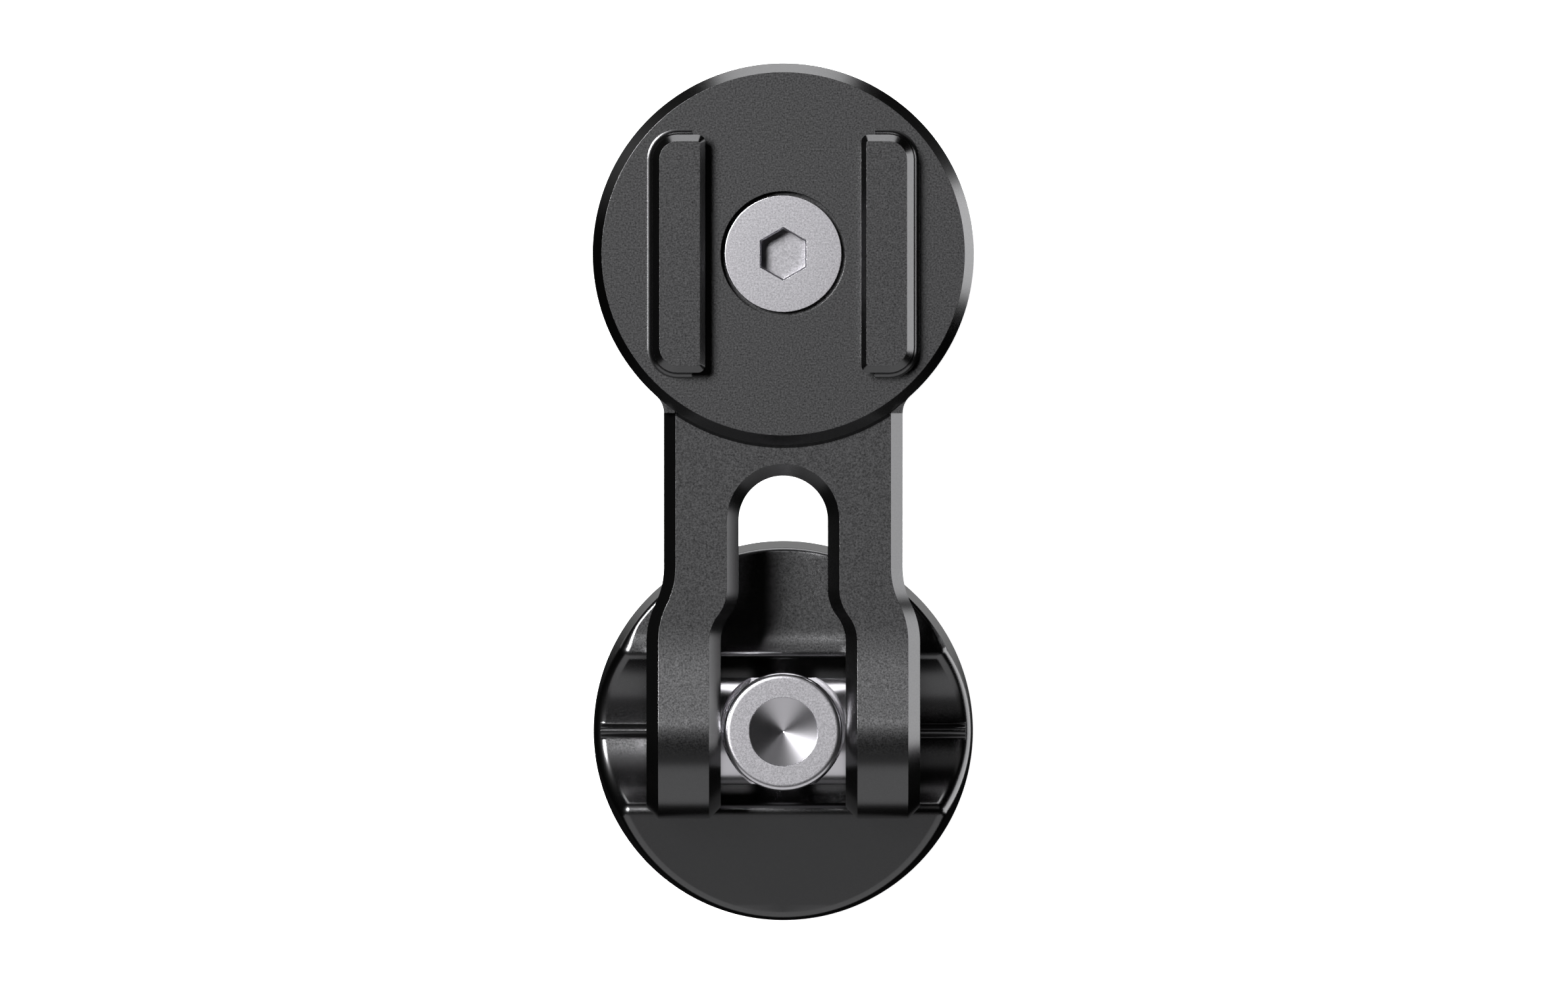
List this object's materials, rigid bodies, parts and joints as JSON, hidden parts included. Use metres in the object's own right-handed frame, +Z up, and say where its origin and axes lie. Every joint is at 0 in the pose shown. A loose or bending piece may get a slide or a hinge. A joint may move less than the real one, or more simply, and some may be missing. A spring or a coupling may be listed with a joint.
{
  "type": "bicycle stem phone mount",
  "caption": "Phone mount that replaces a stem's top cap: round base cap, tilting fork arm clamped by a bolt through a cross barrel, and a round twist-lock head.",
  "frame": {"origin": "on the clamp bolt's axis, in the plane where the base cap rests on the stem", "axes": "+Z up along the clamp bolt; +Y from the bolt towards the head; +X across the bicycle, along the tilt axis"},
  "size_m": [0.034, 0.0766, 0.0463],
  "materials": {
    "black_anodised": "bead-blasted, black anodised",
    "bolt_steel": "finely blasted bright stainless steel",
    "barrel_steel": "smooth bright stainless steel"
  },
  "bodies": {
    "base": {"base_cap": "black_anodised"},
    "barrel": {"pivot_barrel": "barrel_steel"},
    "bolt": {"clamp_bolt": "bolt_steel"},
    "arm": {"fork_arm": "black_anodised", "thread_insert": "bolt_steel", "head_dowels": "bolt_steel", "head_disc": "black_anodised", "head_screw": "bolt_steel"}
  },
  "joints": [
    {"name": "arm_tilt", "type": "hinge", "parent": "base", "child": "arm", "pos_m": [0, 0, 0.01], "axis": [1, 0, 0], "range_deg": [-15, 45]},
    {"name": "barrel_turn", "type": "hinge", "parent": "base", "child": "barrel", "pos_m": [0, 0, 0.01], "axis": [1, 0, 0], "range_deg": [0, 10.8]},
    {"name": "bolt_turn", "type": "hinge", "parent": "base", "child": "bolt", "pos_m": [0, 0, 0], "axis": [0, 0, 1], "continuous": true}
  ]
}
